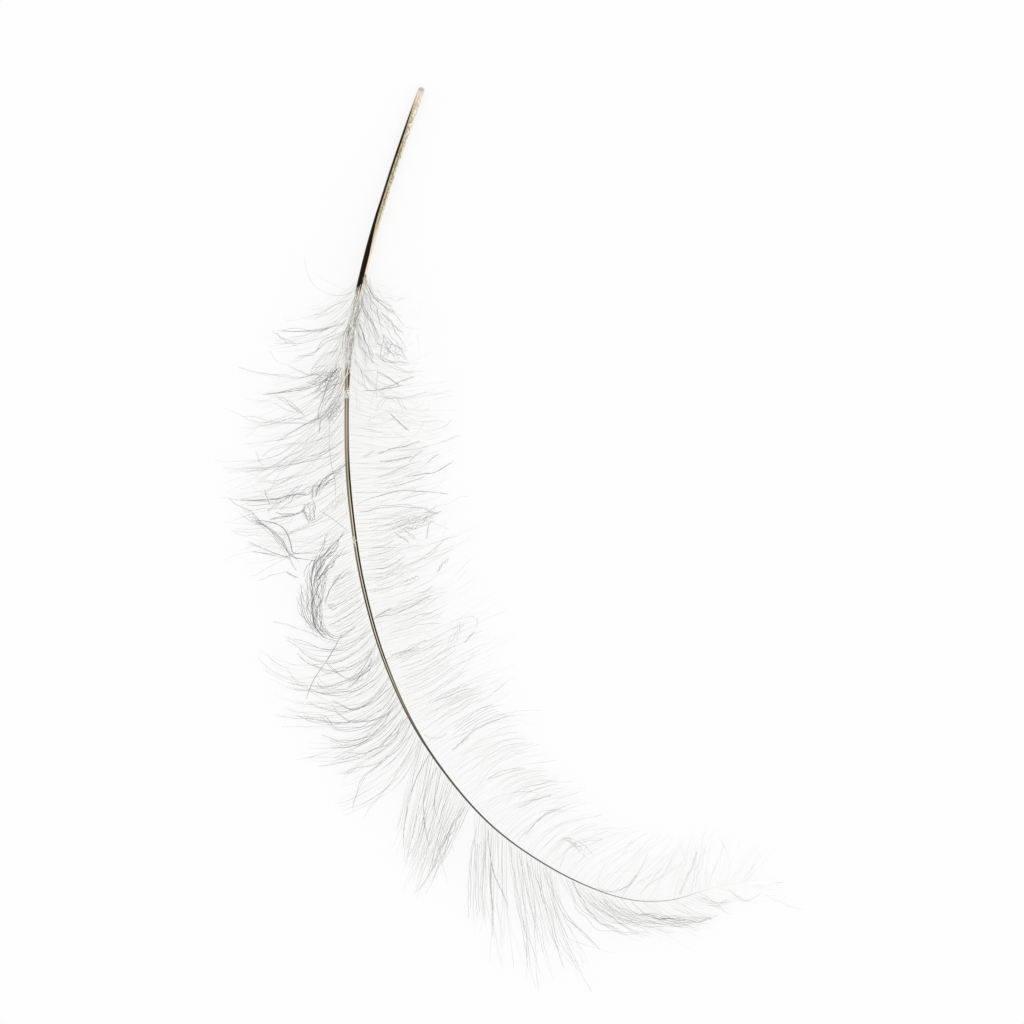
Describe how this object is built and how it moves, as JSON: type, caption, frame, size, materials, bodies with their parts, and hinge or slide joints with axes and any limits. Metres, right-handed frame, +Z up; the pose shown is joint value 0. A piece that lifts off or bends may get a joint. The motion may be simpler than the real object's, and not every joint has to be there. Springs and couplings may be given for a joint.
{
  "type": "goose quill feather",
  "caption": "Long curved white feather lying flat: a bare hollow quill, a thin tapering shaft, loose open vanes on both sides and a downy tuft at the base.",
  "frame": {"origin": "on the surface the feather lies on, at the middle of its outline in plan", "axes": "+Z up from the surface, +Y towards the quill's open end, +X towards the side that the feather's C shape opens to"},
  "size_m": [0.1679, 0.2487, 0.0076],
  "materials": {
    "horn": "satin, translucent horn that runs from cream to near-black brown",
    "barbs": "fine matt white fibres with a faint sheen",
    "down": "soft matt white down"
  },
  "bodies": {
    "root": {"shaft": "horn", "outer_vane": "barbs", "inner_vane": "barbs", "afterfeather": "down"}
  },
  "joints": []
}
